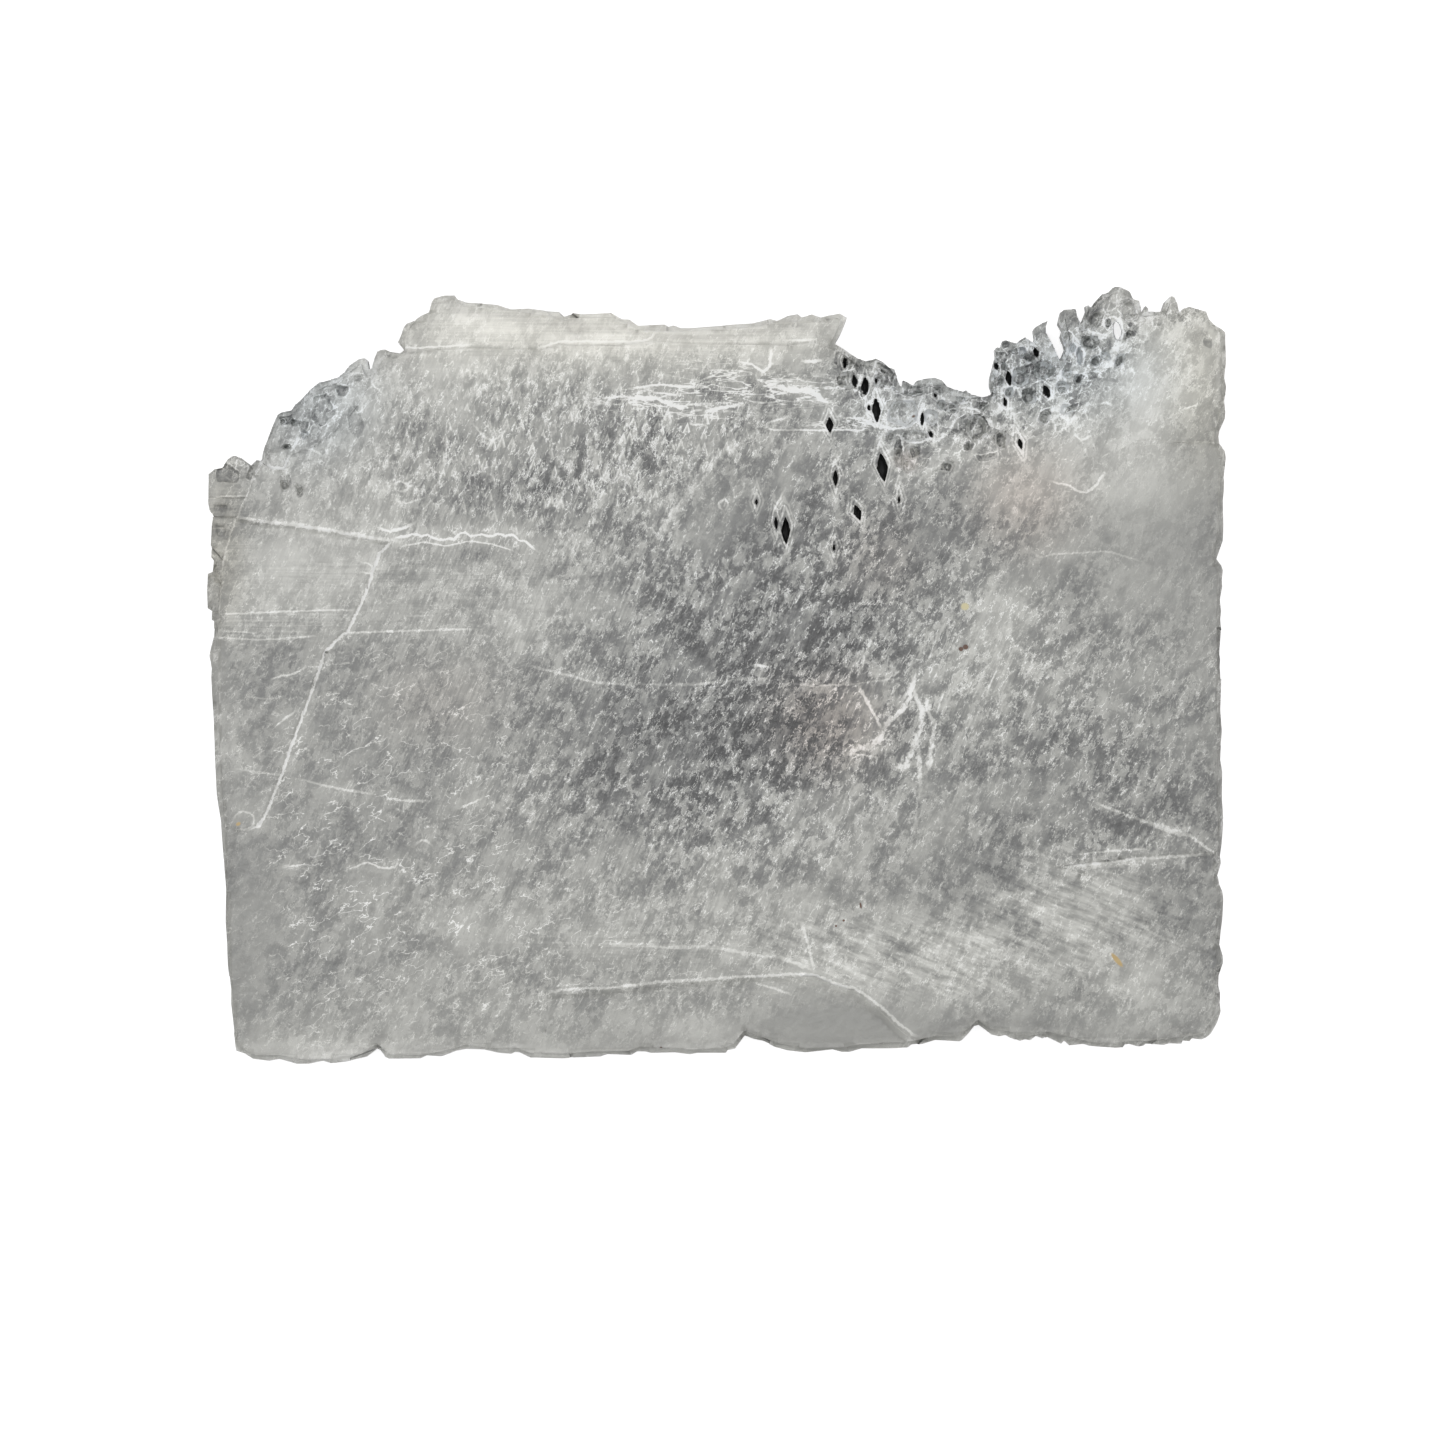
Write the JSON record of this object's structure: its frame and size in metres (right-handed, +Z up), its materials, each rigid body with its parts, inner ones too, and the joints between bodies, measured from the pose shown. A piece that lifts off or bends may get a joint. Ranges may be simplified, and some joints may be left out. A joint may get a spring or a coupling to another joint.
{
  "type": "selenite slab",
  "caption": "Flat natural cleavage slab of clear grey selenite with a straight front, a stepped back edge and a pitted, honeycombed crown at one corner.",
  "frame": {"origin": "middle of the slab's box, on the surface that its underside rests on", "axes": "+X along the long side, +Y towards the stepped back edge and the honeycombed crown, +Z up out of the main cleavage face"},
  "size_m": [0.2046, 0.156, 0.012],
  "materials": {
    "selenite": "translucent grey selenite, silky fibrous cleavage face with white veils and cracks"
  },
  "bodies": {
    "root": {"selenite_slab": "selenite"}
  },
  "joints": []
}
